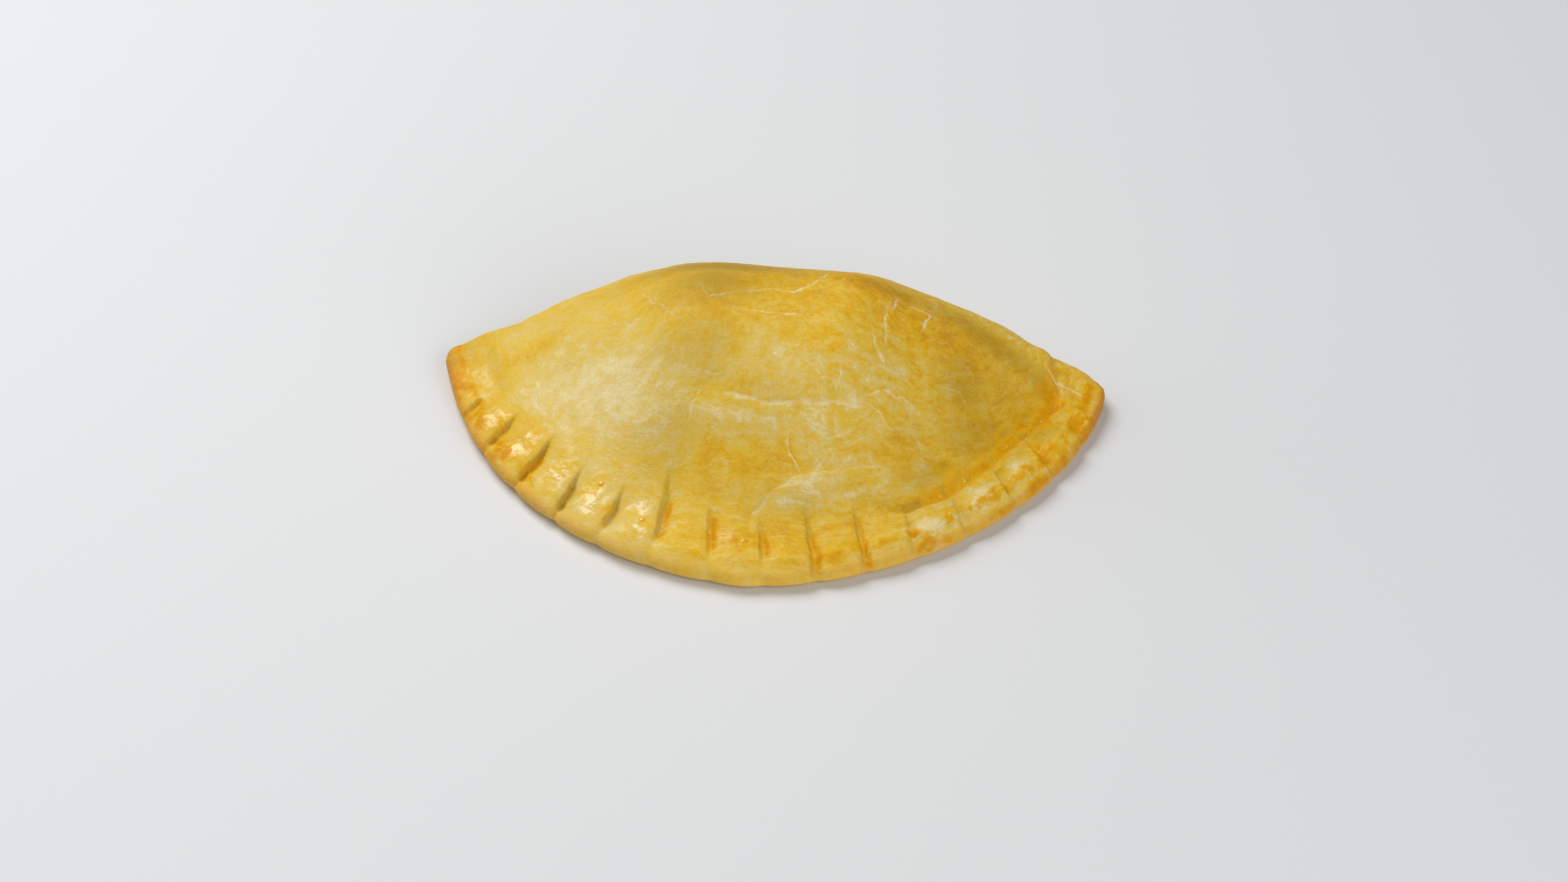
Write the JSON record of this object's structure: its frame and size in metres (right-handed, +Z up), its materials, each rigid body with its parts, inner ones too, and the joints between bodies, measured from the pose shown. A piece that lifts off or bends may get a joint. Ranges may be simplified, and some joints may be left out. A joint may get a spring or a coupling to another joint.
{
  "type": "meat pie",
  "caption": "Half-moon meat pie of golden egg-washed shortcrust pastry, folded over its filling and crimped round its curved edge.",
  "frame": {"origin": "on the surface that the pie rests on, under the middle of its box", "axes": "+X from the left tip to the right tip as seen from the crimped edge, +Y towards the folded back, +Z up"},
  "size_m": [0.16, 0.0864, 0.0387],
  "materials": {
    "pastry": "satin egg-washed shortcrust pastry, golden yellow, with glossier orange pools along the rim"
  },
  "bodies": {
    "root": {"meat_pie": "pastry"}
  },
  "joints": []
}
